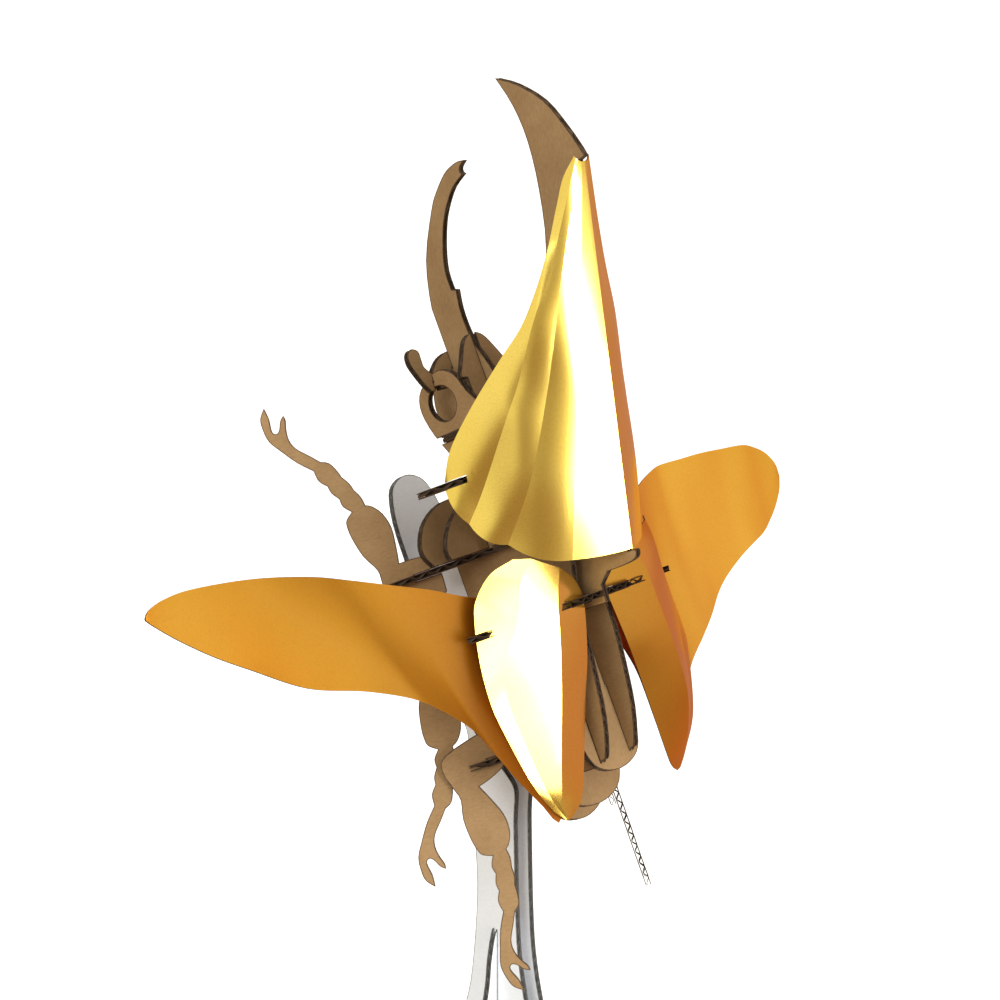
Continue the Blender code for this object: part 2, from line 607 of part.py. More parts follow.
def world_point(y, z, kind=()):
    """The same as a point of an outline."""
    return (*in_world(y, z), *kind)


CORNER = ("c",)
SIDE = [(-66, SIDE_LOW, "c"), (-66, 9, "c"), (-50, 17), (-36, 35), (-27, 55), (-20.5, 76),
        (-16, 100), (-14.3, 123), (-13.4, 150), (-12.9, 177), (-13.5, 191), (-10.6, 197.5),
        (0.2, 207.3), world_point(-52, -77.5), world_point(-44, -70), world_point(-40, -46),
        world_point(-36, -42, CORNER), world_point(34, -42, CORNER), world_point(42, -60),
        world_point(50, -74), world_point(52, -86), world_point(40, -92),
        world_point(0, -96), (19.7, 217), (16.4, 179), (13.4, 147), (12.9, 125), (15.5, 92),
        (19.5, 68), (28, 44), (44, 20), (66, 9, "c"), (66, SIDE_LOW, "c")]
FOOT = [(0, SIDE_LOW, "c"), (60, SIDE_LOW, "c"), (60, 9, "c"), (42, 17), (28, 36), (18, 63),
        (13.5, 81), (11.9, 95), (9, 108), (6.5, 112), (0, 112, "c")]
CRADLE = [(0, -56), (9, -52), (13, -40), (15, -10), (17.4, 30), (17.9, 48), (17, 69),
          (13, 83.5), (7.5, 89), (0, 91)]


def tab(centre):
    """A side board's tab that goes down into the base, as corners from front to back."""
    return [(centre + TAB_HALF, SIDE_LOW, "c"), (centre + TAB_HALF, TAB_LOW, "c"),
            (centre - TAB_HALF, TAB_LOW, "c"), (centre - TAB_HALF, SIDE_LOW, "c")]


def base_outline():
    """A rectangle with round corners."""
    points = []
    for k, (sx, sy) in enumerate(((1, -1), (1, 1), (-1, 1), (-1, -1))):
        cx, cy = sx * (BASE_HALF[0] - BASE_CORNER), sy * (BASE_HALF[1] - BASE_CORNER)
        for step in range(8):
            angle = math.radians(-90 + 90 * k + 90 * step / 7)
            points.append((cx + BASE_CORNER * math.cos(angle),
                           cy + BASE_CORNER * math.sin(angle), "c"))
    return points


def stand(beetle, white):
    """Base, foot, two sides and the leaning cradle board."""
    base = board("stand_base", base_outline(), level(BOARD / 2), None, white)
    foot = board("stand_foot", both_sides(FOOT), across(0), None, white)
    cradle = board("stand_cradle", both_sides(CRADLE), level(CRADLE_Z), beetle, white)
    lean = beetle.matrix_basis
    for side, word in ((-1, "left"), (1, "right")):
        x = side * STAND_X
        outline = SIDE + [p for middle in reversed(TABS) for p in tab(middle)]
        piece = board(f"stand_side_{word}", outline, upright(x), None, white)
        for middle in TABS:
            reach = TAB_HALF + GAP
            cut_box(base, (x - HALF_SLOT, middle - reach, -BOARD),
                    (x + HALF_SLOT, middle + reach, 2 * BOARD))
        cross_over(piece, x, foot, 0, FOOT_MEET, True)
        cut_box(cradle, (x - HALF_SLOT, -FAR, CRADLE_Z - DEEP),
                (x + HALF_SLOT, CRADLE_MEET + GAP / 2, CRADLE_Z + DEEP))
        cut_box(piece, (x - DEEP, CRADLE_MEET - GAP / 2, CRADLE_Z - HALF_SLOT),
                (x + DEEP, FAR, CRADLE_Z + HALF_SLOT), lean)


def build():
    """Make the whole model."""
    wipe_scene()
    kraft = material("kraft_board", (0.48, 0.33, 0.19), 0.85, 0.0)
    gold = material("gold_card", (0.86, 0.58, 0.16), 0.32, 0.9)
    white = material("white_board", (0.82, 0.84, 0.86), 0.7, 0.0)
    beetle = bpy.data.objects.new("beetle_frame", None)
    bpy.context.scene.collection.objects.link(beetle)
    beetle.location = Vector(BODY_AT) * MM
    beetle.rotation_euler = Euler((math.radians(90 - LEAN), 0, 0))
    bpy.context.view_layer.update()
    horn = head(beetle, kraft)
    carriers = trunk(beetle, kraft, horn)
    legs(beetle, kraft, carriers)
    pronotum(beetle, gold)
    for side in (-1, 1):
        wing_case(side, beetle, gold)
        wing(side, beetle, gold)
    stand(beetle, white)


build()
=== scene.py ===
# %% [markdown]
# A hercules beetle of slotted corrugated board and folded gold card
#
# The real thing is cut with a laser from brown corrugated board, about 3 mm thick, and from
# card with a gold face. Flat boards cross each other and lock with slots, the gold card is
# creased and curved over them, and a stand of white board holds the beetle up, leaning.
#
# The CAD frame already holds every piece in its place. Here each flat board is made again with
# what a cut edge shows: two thin liners and a wavy sheet between them. The gold card is lofted
# again much more finely, because a shiny sheet shows every facet.

# %% Load the frame
import json
import math
import bpy
from mathutils import Matrix, Vector

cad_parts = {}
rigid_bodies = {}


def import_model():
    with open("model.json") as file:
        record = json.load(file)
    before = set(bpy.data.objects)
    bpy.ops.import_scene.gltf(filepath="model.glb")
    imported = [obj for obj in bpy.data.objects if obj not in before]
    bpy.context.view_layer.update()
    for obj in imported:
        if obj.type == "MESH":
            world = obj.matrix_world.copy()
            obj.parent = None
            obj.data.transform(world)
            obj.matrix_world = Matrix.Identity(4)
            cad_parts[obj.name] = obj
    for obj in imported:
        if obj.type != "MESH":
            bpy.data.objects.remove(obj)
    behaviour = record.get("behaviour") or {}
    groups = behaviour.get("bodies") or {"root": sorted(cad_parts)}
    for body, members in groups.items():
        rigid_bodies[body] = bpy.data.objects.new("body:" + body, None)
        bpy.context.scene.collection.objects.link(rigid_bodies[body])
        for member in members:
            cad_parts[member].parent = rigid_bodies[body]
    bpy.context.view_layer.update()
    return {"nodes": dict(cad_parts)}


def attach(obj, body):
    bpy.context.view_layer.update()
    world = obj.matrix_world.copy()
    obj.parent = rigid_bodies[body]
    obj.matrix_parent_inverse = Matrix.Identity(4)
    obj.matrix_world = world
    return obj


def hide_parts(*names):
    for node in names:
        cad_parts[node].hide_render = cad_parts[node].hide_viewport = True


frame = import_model()
MM = 0.001

# %% [markdown]
# The beetle leans. Its points could be given in the world's frame, but each of them would then
# hide the lean. They are easier to think of in the beetle's own frame: x to its right, y
# towards the head and z towards its back. One matrix takes that frame to the world.

# %% The beetle's own frame
LEAN = 27.0                # degrees from the vertical
BODY_AT = (0.0, -42.2, 297.9)
BODY = Matrix.Translation(Vector(BODY_AT) * MM) @ Matrix.Rotation(math.radians(90 - LEAN), 4, "X")
RIGHT, FORWARD, UP = (BODY.to_3x3().col[i].copy() for i in range(3))
print("towards the head:", [round(v, 3) for v in FORWARD])

# %% [markdown]
# Operators act on what is selected, and loading the frame leaves its nodes selected. So
# everything is deselected once, and a few small helpers keep the selection tidy from then on.
# A finished piece keeps its object at the origin: its place goes into its mesh.

# %% Take, apply, remove and place


def take(thing):
    """Select one object alone and make it active."""
    if bpy.context.object and bpy.context.object.mode != "OBJECT":
        bpy.ops.object.mode_set(mode="OBJECT")
    bpy.ops.object.select_all(action="DESELECT")
    thing.select_set(True)
    bpy.context.view_layer.objects.active = thing
    return thing


def apply_modifier(thing, kind, **settings):
    """Add a modifier, set it and apply it at once."""
    take(thing)
    made = thing.modifiers.new(kind.lower(), kind)
    for key, value in settings.items():
        setattr(made, key, value)
    bpy.ops.object.modifier_apply(modifier=made.name)


def remove(thing):
    """Delete a helper object and its mesh."""
    mesh = thing.data
    bpy.data.objects.remove(thing, do_unlink=True)
    bpy.data.meshes.remove(mesh)


def place(thing, matrix):
    """Move the mesh itself, so that the object stays at the origin, unturned."""
    thing.data.transform(matrix)
    thing.data.update()
    return thing


bpy.ops.object.select_all(action="DESELECT")
print("selected now:", len(bpy.context.selected_objects))

# %% [markdown]
# By hand, one would click the faces to work on. A script has no mouse, so it picks them by a
# rule on their place or their normal. The flags are set in object mode and edit mode is
# entered afterwards, in the select mode that fits, or some of them would be dropped or added.

# %% Pick edges or faces by a rule


def pick(thing, group, wanted):
    """Enter edit mode with exactly the edges or faces selected for which wanted is true."""
    take(thing)
    mesh = thing.data
    for items in (mesh.vertices, mesh.edges, mesh.polygons):
        items.foreach_set("select", [False] * len(items))
    for item in group:
        item.select = wanted(item)
    faces = group == mesh.polygons
    bpy.context.tool_settings.mesh_select_mode = (False, not faces, faces)
    bpy.ops.object.mode_set(mode="EDIT")


def pick_faces(thing, wanted):
    """The same for faces."""
    pick(thing, thing.data.polygons, wanted)


print("select mode before the first pick:", tuple(bpy.context.tool_settings.mesh_select_mode))

# %% [markdown]
# Every finish here is built from nodes, on the piece's own coordinates. Pictures of paper
# would be quicker, but they repeat, and they stretch where a piece bends. Three helpers save
# most of the typing: they start a material, make a colour ramp and multiply two colours.

# %% Start a finish


def start_finish(name, roughness, metallic=0.0):
    """A material with its Principled shader and a way to add nodes."""
    made = bpy.data.materials.new(name)
    made.use_nodes = True
    tree = made.node_tree
    shader = tree.nodes["Principled BSDF"]
    shader.inputs["Roughness"].default_value = roughness
    shader.inputs["Metallic"].default_value = metallic

    def add(kind, **settings):
        node = tree.nodes.new(kind)
        for key, value in settings.items():
            if key.startswith("in_"):
                node.inputs[key[3:].replace("_", " ")].default_value = value
            else:
                setattr(node, key, value)
        return node

    return made, tree, shader, add


def ramp(add, stops):
    """A colour ramp from position and colour pairs."""
    node = add("ShaderNodeValToRGB")
    marks = node.color_ramp.elements
    while len(marks) < len(stops):
        marks.new(0.5)
    for mark, (position, colour) in zip(marks, stops):
        mark.position = position
        mark.color = (*colour, 1.0)
    return node


def multiply(add, link, first, second):
    """Multiply two colours."""
    mix = add("ShaderNodeMix", data_type="RGBA", blend_type="MULTIPLY")
    mix.inputs["Factor"].default_value = 1.0
    link(first, mix.inputs["A"])
    link(second, mix.inputs["B"])
    return mix.outputs["Result"]


print("materials so far:", len(bpy.data.materials))

# %% [markdown]
# The liner is the paper skin of the board. Kraft liner is a soft brown, mottled with fibres
# that run one way, and it shows faint lines where the flutes beneath are glued. Each board
# carries a UV map in metres, U across its flutes and V along them, so that a noise stretched
# along V makes fibres that follow the board however it stands. Soft blotches need no
# direction, so they read the object's coordinates.

# %% Paper liner
FLUTE = 6.4 * MM           # from one crest of the wavy sheet to the next
FIBRES = (900, 330, 1)     # specks to a metre, across the flutes and along them


def liner_finish(name, dark, mid, light, blotch, roughness):
    """Paper liner: mottled fibres along the flutes, soft blotches and faint flute lines."""
    made, tree, shader, add = start_finish(name, roughness)
    link = tree.links.new
    uv = add("ShaderNodeUVMap", uv_map="grain")
    where = add("ShaderNodeTexCoord")
    fibre_way = add("ShaderNodeMapping")
    fibre_way.inputs["Scale"].default_value = FIBRES
    fibres = add("ShaderNodeTexNoise", in_Scale=1.0, in_Detail=6.0, in_Roughness=0.7)
    blotches = add("ShaderNodeTexNoise", in_Scale=38.0, in_Detail=4.0, in_Roughness=0.6)
    link(uv.outputs["UV"], fibre_way.inputs["Vector"])
    link(fibre_way.outputs["Vector"], fibres.inputs["Vector"])
    link(where.outputs["Object"], blotches.inputs["Vector"])
    tones = ramp(add, [(0.28, dark), (0.5, mid), (0.74, light)])
    link(fibres.outputs["Fac"], tones.inputs["Fac"])
    stain_and_shade = ramp(add, [(0.3, blotch), (0.62, (1, 1, 1))])
    link(blotches.outputs["Fac"], stain_and_shade.inputs["Fac"])
    colour = multiply(add, link, tones.outputs["Color"], stain_and_shade.outputs["Color"])
    link(colour, shader.inputs["Base Color"])
    flute_way = add("ShaderNodeMapping")
    flute_way.inputs["Scale"].default_value = (1 / FLUTE, 0, 0)
    lines = add("ShaderNodeTexWave", wave_type="BANDS", bands_direction="X", in_Scale=math.pi / 10)
    link(uv.outputs["UV"], flute_way.inputs["Vector"])
    link(flute_way.outputs["Vector"], lines.inputs["Vector"])
    height = add("ShaderNodeMath", operation="MULTIPLY_ADD")
    height.inputs[1].default_value = 0.35
    link(lines.outputs["Fac"], height.inputs[0])
    link(fibres.outputs["Fac"], height.inputs[2])
    bump = add("ShaderNodeBump", in_Strength=0.16, in_Distance=0.0006)
    link(height.outputs["Value"], bump.inputs["Height"])
    link(bump.outputs["Normal"], shader.inputs["Normal"])
    return made


print("flutes to 100 mm:", round(0.1 / FLUTE, 1))

# %% [markdown]
# A laser leaves a scorched rim on the liner and a nearly black cut edge. One uneven noise in
# two depths of brown does for both, and grey does for the white board. The wavy sheet is
# coarser paper than the liners, and its colour is painted much darker: partly darker paper,
# partly painted shade for the little light that gets in to the flutes.

# %% Board finishes


def cut_finish(name, dark, light):
    """A cut edge: uneven streaks from nearly black to brown or grey."""
    made, tree, shader, add = start_finish(name, 0.95)
    link = tree.links.new
    where = add("ShaderNodeTexCoord")
    burn = add("ShaderNodeTexNoise", in_Scale=420.0, in_Detail=5.0, in_Roughness=0.65)
    link(where.outputs["Object"], burn.inputs["Vector"])
    tones = ramp(add, [(0.35, dark), (0.7, light)])
    link(burn.outputs["Fac"], tones.inputs["Fac"])
    link(tones.outputs["Color"], shader.inputs["Base Color"])
    return made


KRAFT = {
    "liner": liner_finish("kraft_liner", (0.255, 0.152, 0.062), (0.3, 0.183, 0.078),
                          (0.345, 0.216, 0.098), (0.82, 0.78, 0.72), 0.8),
    "rim": cut_finish("kraft_scorched_rim", (0.05, 0.026, 0.012), (0.14, 0.075, 0.034)),
    "edge": cut_finish("kraft_burnt_edge", (0.01, 0.006, 0.004), (0.085, 0.048, 0.025)),
    # Wavy sheet: darker paper, with painted shade for the inside of the flutes
    "flute": liner_finish("kraft_flute_painted_shade", (0.06, 0.035, 0.018), (0.1, 0.06, 0.03),
                          (0.15, 0.09, 0.045), (0.75, 0.72, 0.68), 0.9),
}
WHITE = {
    "liner": liner_finish("white_liner", (0.76, 0.79, 0.83), (0.81, 0.84, 0.88),
                          (0.86, 0.885, 0.92), (0.95, 0.955, 0.96), 0.6),
    "rim": cut_finish("white_scorched_rim", (0.14, 0.135, 0.13), (0.3, 0.3, 0.3)),
    "edge": cut_finish("white_burnt_edge", (0.02, 0.02, 0.02), (0.12, 0.115, 0.11)),
    "flute": liner_finish("white_flute_painted_shade", (0.2, 0.2, 0.2), (0.3, 0.3, 0.3),
                          (0.38, 0.38, 0.38), (0.8, 0.8, 0.8), 0.9),
}
LINER_FACE, RIM_FACE, EDGE_FACE, FLUTE_FACE = range(4)     # slots, in the order of the papers
print("board finishes:", [m.name for m in (*KRAFT.values(), *WHITE.values())])

# %% [markdown]
# A corrugated board could be shown by a painted edge, but its flutes are what the eye finds
# first on such a model. So the flat caps of each CAD board become the liners, and a grid is
# bent into a wave, given a thickness, and clipped by the board's own outline and slots. Each
# starts from a copy of the CAD board, whose loose triangles are merged first.

# %% Copy a board and find its way


def facing(mesh):
    """The direction that most of a board's area faces."""
    totals = {}
    for face in mesh.polygons:
        key = tuple(round(abs(v), 2) for v in face.normal)
        entry = totals.setdefault(key, [0.0, Vector(), face.normal.copy()])
        entry[0] += face.area
        entry[1] += face.normal * math.copysign(face.area, face.normal.dot(entry[2]))
    return max(totals.values(), key=lambda e: e[0])[1].normalized()


def wear(thing, paper):
    """Give a mesh the four finishes of a paper; clearing them later would reset its faces."""
    thing.data.materials.clear()
    for finish in paper.values():
        thing.data.materials.append(finish)


def plain_copy(node):
    """A merged copy of a CAD node's mesh as a new object."""
    copy = frame["nodes"][node].copy()
    copy.data = frame["nodes"][node].data.copy()
    copy.parent = None
    bpy.context.scene.collection.objects.link(copy)
    for key in list(copy.keys()):
        del copy[key]
    take(copy)
    bpy.ops.object.mode_set(mode="EDIT")
    bpy.ops.mesh.select_all(action="SELECT")
    bpy.ops.mesh.remove_doubles(threshold=1e-6)
    bpy.ops.object.mode_set(mode="OBJECT")
    copy.data.materials.clear()
    return copy


print("the upper horn faces", [round(v, 2) for v in facing(frame["nodes"]["horn_upper"].data)])

# %% [markdown]
# The laser scorches the liner's rim for about half a millimetre along every cut, also in the
# slots. A texture can't know where the cuts run, but geometry can: the cap is inset by the
# rim's width, and the ring of new faces gets the scorched finish. The inset leaves the middle
# full of long thin faces, so the middle is filled anew between the ring's inner edges.

# %% Liner
LINER = 0.45 * MM
RIM = 0.45 * MM


def grid_spot(point):
    """A point as whole micrometres, to find it again."""
    return tuple(round(c / MM * 1000) for c in point)


def liner(node, normal, side, paper):
    """One liner: the cap of the board on that side, with a scorched rim, made a thin sheet."""
    sheet = plain_copy(node)
    wear(sheet, paper)
    pick_faces(sheet, lambda f: f.normal.dot(normal) * side < 0.95)
    bpy.ops.mesh.delete(type="FACE")
    bpy.ops.mesh.select_all(action="SELECT")
    bpy.ops.mesh.dissolve_limited(angle_limit=0.005)
    bpy.ops.object.mode_set(mode="OBJECT")
    outline = {grid_spot(v.co) for v in sheet.data.vertices}
    bpy.ops.object.mode_set(mode="EDIT")
    bpy.ops.mesh.select_all(action="SELECT")
    bpy.ops.mesh.inset(thickness=RIM, depth=0.0, use_boundary=True, use_even_offset=True,
                       use_outset=False)
    bpy.ops.mesh.delete(type="FACE")
    bpy.ops.object.mode_set(mode="OBJECT")
    spots = [grid_spot(v.co) for v in sheet.data.vertices]
    uses = {}
    for face in sheet.data.polygons:
        for key in face.edge_keys:
            uses[key] = uses.get(key, 0) + 1
    rims = len(sheet.data.polygons)
    pick(sheet, sheet.data.edges, lambda e: uses.get(tuple(sorted(e.vertices))) == 1
         and not any(spots[i] in outline for i in e.vertices))
    bpy.ops.mesh.fill(use_beauty=True)
    bpy.ops.object.mode_set(mode="OBJECT")
    for face in sheet.data.polygons:
        face.material_index = RIM_FACE if face.index < rims else LINER_FACE
        if face.index >= rims and face.normal.dot(normal) * side < 0:
            face.flip()
    apply_modifier(sheet, "SOLIDIFY", thickness=LINER, offset=-1.0)
    for face in sheet.data.polygons:
        outward = face.normal.dot(normal) * side
        if outward < 0.5:
            face.material_index = FLUTE_FACE if outward < -0.5 else EDGE_FACE
    return sheet


print("liner and rim in mm:", round(LINER / MM, 2), round(RIM / MM, 2))

# %% [markdown]
# Between the liners lies the wavy sheet. One could extrude a wave line across the board and
# cut it to shape by hand. Here a flat grid is laid over the whole board, its points are raised
# by a sine, and a Boolean with the CAD board keeps what lies inside the outline and the
# slots. The fluted edge then comes out right on every cut, straight or curved.

# %% Wavy sheet
HALF_BOARD = 1.5 * MM
MEDIUM = 0.28 * MM         # thickness of the wavy sheet
GLUE_GAP = 0.02 * MM       # keeps the sheet's crests just off the liners
STEPS = 8                  # faces to one wave


def medium(node, normal, grain, paper):
    """The wavy sheet between the liners, its crests running along the grain."""
    solid = plain_copy(node)
    across = grain.cross(normal).normalized()
    spots = [v.co for v in solid.data.vertices]
    middle = sum((normal.dot(p) for p in (min(spots, key=normal.dot), max(spots, key=normal.dot))))
    centre = Vector([(min(p[i] for p in spots) + max(p[i] for p in spots)) / 2 for i in range(3)])
    centre += normal * (middle / 2 - normal.dot(centre))
    half_u = max(abs((p - centre).dot(across)) for p in spots) + FLUTE
    half_v = max(abs((p - centre).dot(grain)) for p in spots) + FLUTE
    columns = int(2 * half_u / FLUTE * STEPS)
    bpy.ops.object.select_all(action="DESELECT")
    bpy.ops.mesh.primitive_grid_add(x_subdivisions=columns, y_subdivisions=1, size=2.0)
    wave = bpy.context.object
    rise = HALF_BOARD - LINER - MEDIUM / 2 - GLUE_GAP
    for vert in wave.data.vertices:
        u, v = vert.co.x * half_u, vert.co.y * half_v
        vert.co = (u, v, rise * math.sin(2 * math.pi * u / FLUTE))
    apply_modifier(wave, "SOLIDIFY", thickness=MEDIUM, offset=0.0)
    turn = Matrix((across, grain, across.cross(grain))).transposed().to_4x4()
    turn.translation = centre
    place(wave, turn)
    apply_modifier(wave, "BOOLEAN", operation="INTERSECT", solver="EXACT", object=solid)
    wear(wave, paper)
    for face in wave.data.polygons:
        cut = abs(face.normal.dot(normal)) < 0.2
        face.material_index = EDGE_FACE if cut else FLUTE_FACE
    remove(solid)
    return wave


print("the wave rises", round((HALF_BOARD - LINER - MEDIUM / 2 - GLUE_GAP) / MM, 2), "mm")

# %% [markdown]
# The three sheets are joined into one piece, which takes the CAD board's place. Before that
# each gets its UV map: an unwrap would turn every face its own way, so the map is worked out
# from the board's own two directions instead, in metres.

# %% Join the sheets of a board


def grain_map(thing, normal, grain):
    """UV map in metres: U across the flutes, V along them."""
    across = grain.cross(normal).normalized()
    layer = thing.data.uv_layers.new(name="grain")
    for loop in thing.data.loops:
        spot = thing.data.vertices[loop.vertex_index].co
        layer.data[loop.index].uv = (spot.dot(across), spot.dot(grain))


def corrugate(node, grain_hint, paper):
    """Replace one CAD board by its liners and its wavy sheet, joined as one piece."""
    normal = facing(frame["nodes"][node].data)
    grain = (grain_hint - normal * grain_hint.dot(normal)).normalized()
    parts = [liner(node, normal, 1, paper), liner(node, normal, -1, paper),
             medium(node, normal, grain, paper)]
    for part in parts:
        while part.data.uv_layers:
            part.data.uv_layers.remove(part.data.uv_layers[0])
        grain_map(part, normal, grain)
    take(parts[0])
    for part in parts[1:]:
        part.select_set(True)
    bpy.ops.object.join()
    made = bpy.context.object
    made.name = made.data.name = f"{node}_board"
    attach(made, "root")
    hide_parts(node)
    return made


GOLD_NODES = ("pronotum", "wing_")
print("boards to make:", sum(not node.startswith(GOLD_NODES) for node in frame["nodes"]))

# %% [markdown]
# A maker lays each piece on the sheet of board so that its long way is stiff, or so that the
# flutes show where it looks well. The directions below say which way the flutes of each kind
# of board run. Where the photograph shows a wavy edge, they follow it.

# %% Every flat board of the beetle and the stand
GRAINS = (
    ("horn_", FORWARD * 0.6 + UP * 0.2), ("eye_", UP), ("head_cross", UP), ("brow", FORWARD),
    ("antennae", RIGHT), ("cross_", UP), ("rib_", UP), ("chest_", FORWARD),
    ("abdomen_", FORWARD), ("leg_", RIGHT), ("stand_side", Vector((0, 1, 0))),
    ("stand_foot", Vector((1, 0, 0))), ("stand_base", Vector((1, 0, 0))), ("stand_cradle", RIGHT),
)
boards = []
for node in sorted(frame["nodes"]):
    if node.startswith(GOLD_NODES):
        continue
    hint = next(way for start, way in GRAINS if node.startswith(start))
    white = node.startswith("stand_")
    boards.append(corrugate(node, hint, WHITE if white else KRAFT))
print("boards:", len(boards), "faces:", sum(len(b.data.polygons) for b in boards))

# %% [markdown]
# Gold card. Its face is a metal foil on paper: a warm metallic shader with a thin glossy coat,
# slightly cloudy, with the finest paper grain in its colour and bump. A plain gold colour
# would look like paint, because it is what the foil mirrors that makes it gold. The shield
# and the left case share one gold. The wings and the right case are the same card, but they
# turn away from the key light, so they get a deeper copy of the gold as painted shade, and on
# the wings painted shade also darkens it towards their roots.

# %% Gold finish
ROOT_SHADE_FROM = 0.05           # the painted root shade is full up to here, in metres from the middle line
ROOT_SHADE_TO = 0.12             # and has faded out here


def gold_finish(name, base, shade, roughness, coat, root=(1.0, 1.0, 1.0)):
    """Foil-faced card: cloudy tone, a fine grain in colour and bump, and a clear coat.

    The root colour is painted shade, darkening the card towards the beetle's middle line.
    """
    made, tree, shader, add = start_finish(name, roughness, 1.0)
    link = tree.links.new
    where = add("ShaderNodeTexCoord")
    clouds = add("ShaderNodeTexNoise", in_Scale=14.0, in_Detail=3.0, in_Roughness=0.55)
    grain = add("ShaderNodeTexNoise", in_Scale=1100.0, in_Detail=3.0, in_Roughness=0.6)
    for noise in (clouds, grain):
        link(where.outputs["Object"], noise.inputs["Vector"])
    tones = ramp(add, [(0.35, shade), (0.6, base)])
    link(clouds.outputs["Fac"], tones.inputs["Fac"])
    specks = ramp(add, [(0.32, (0.93, 0.92, 0.88)), (0.55, (1, 1, 1))])
    link(grain.outputs["Fac"], specks.inputs["Fac"])
    foil = multiply(add, link, tones.outputs["Color"], specks.outputs["Color"])
    # Painted shade: the colour darkens towards the middle line, where the wing roots lie in shade
    sides = add("ShaderNodeSeparateXYZ")
    aside = add("ShaderNodeMath", operation="ABSOLUTE")
    stain_and_shade = ramp(add, [(ROOT_SHADE_FROM, root), (ROOT_SHADE_TO, (1, 1, 1))])
    link(where.outputs["Object"], sides.inputs["Vector"])
    link(sides.outputs["X"], aside.inputs[0])
    link(aside.outputs["Value"], stain_and_shade.inputs["Fac"])
    root_shaded = multiply(add, link, foil, stain_and_shade.outputs["Color"])
    link(root_shaded, shader.inputs["Base Color"])
    bump = add("ShaderNodeBump", in_Strength=0.05, in_Distance=0.0002)
    link(grain.outputs["Fac"], bump.inputs["Height"])
    link(bump.outputs["Normal"], shader.inputs["Normal"])
    shader.inputs["Coat Weight"].default_value = coat
    shader.inputs["Coat Roughness"].default_value = 0.15
    return made


GOLD = gold_finish("gold_foil", (1.0, 0.74, 0.16), (0.95, 0.68, 0.12), 0.2, 0.6)
# Painted shade: the wings get a deeper copy of the shield's gold, darker still at their roots
WING_GOLD_SHADED = gold_finish("gold_foil_wings_painted_shade", (1.0, 0.55, 0.06), (0.97, 0.52, 0.05), 0.48, 0.4,
                        (0.7, 0.42, 0.25))
# Painted shade: the right case gets a darker copy of the shield's gold
CASE_GOLD_SHADED = gold_finish("gold_foil_right_case_painted_shade", (0.86, 0.42, 0.05), (0.8, 0.385, 0.045), 0.3, 0.4)
GOLD_RIM = cut_finish("gold_card_cut_edge", (0.03, 0.014, 0.006), (0.12, 0.06, 0.02))
print("gold finishes:", [m.name for m in (GOLD, WING_GOLD_SHADED, CASE_GOLD_SHADED, GOLD_RIM)])

# %% [markdown]
# The card pieces are stretched between curved creases. A crease could be a curve object, but
# its points would have to be read back to make a mesh. A small function gives them at once: a
# smooth curve through a few chosen points, read off at even steps, so that rows on
# neighbouring creases face each other.

# %% Curves through a few points
FINE = 24                  # trial steps between two given points


def curve_3d(points, count):
    """Points at even steps along a smooth open curve through the given ones."""
    p = [Vector(q) for q in points]
    p = [2 * p[0] - p[1]] + p + [2 * p[-1] - p[-2]]
    dense = []
    for i in range(1, len(p) - 2):
        a, b, c, d = p[i - 1:i + 3]
        for step in range(FINE):
            t = step / FINE
            dense.append(0.5 * ((2 * b) + (c - a) * t + (2 * a - 5 * b + 4 * c - d) * t * t
                                + (3 * b - a - 3 * c + d) * t ** 3))
    dense.append(p[-2])
    lengths = [0.0]
    for a, b in zip(dense, dense[1:]):
        lengths.append(lengths[-1] + (b - a).length)
    made, j = [], 0
    for k in range(count):
        goal = lengths[-1] * k / (count - 1)
        while j < len(dense) - 2 and lengths[j + 1] < goal:
            j += 1
        share = (goal - lengths[j]) / (lengths[j + 1] - lengths[j])
        made.append(dense[j].lerp(dense[j + 1], min(share, 1.0)))
    return made


print("a straight test line:", [round(q.x, 2) for q in curve_3d([(0, 0, 0), (3, 0, 0)], 4)])

# %% [markdown]
# Creased card isn't flat between its creases: each strip arches a little, and that arch draws
# the soft bands of light on the foil. So a strip is a set of columns between two creases,
# lifted off the straight line by a small share of its width. A swell bends its lower end too.

# %% Strips between creases


def strip(first, second, count, swell=(0, 0, 0), bulge=0.02):
    """Columns from just after the first crease up to the second one.

    The bulge is the strip's rise between its creases, as a share of its width. It grows from
    nothing at the narrow end, where the strip is too stiff to arch.
    """
    last = len(first) - 1
    lifts = []
    for i, (a, b) in enumerate(zip(first, second)):
        way = (first[min(i + 1, last)] - first[max(i - 1, 0)]).cross(b - a).normalized()
        rise = bulge * (b - a).length * min(1.0, 2.2 * i / last)
        lifts.append(way * math.copysign(rise, way.z))
    made = []
    for k in range(1, count + 1):
        t = k / count
        arch = 4 * t * (1 - t)
        column = []
        for i, (a, b) in enumerate(zip(first, second)):
            column.append(a.lerp(b, t) + Vector(swell) * (arch * (i / last) ** 6)
                          + lifts[i] * arch)
        made.append(column)
    return made


def mirror_columns(columns):
    """The same columns on the other side of the body."""
    return [[Vector((-p.x, p.y, p.z)) for p in column] for column in reversed(columns)]


TEST_EDGES = [[Vector((x, y, 0)) for y in (0, 10, 20)] for x in (0, 10)]
print("a 10 mm strip arches by", round(strip(*TEST_EDGES, 2)[0][2].z, 2), "mm")

# %% [markdown]
# A grid is added with the right number of rows and columns, and its points are moved onto the
# curves. Smooth shading would round the creases off, so their edges are marked as sharp: a
# fold in foil shows as a crisp line between two tones.

# %% Card from columns


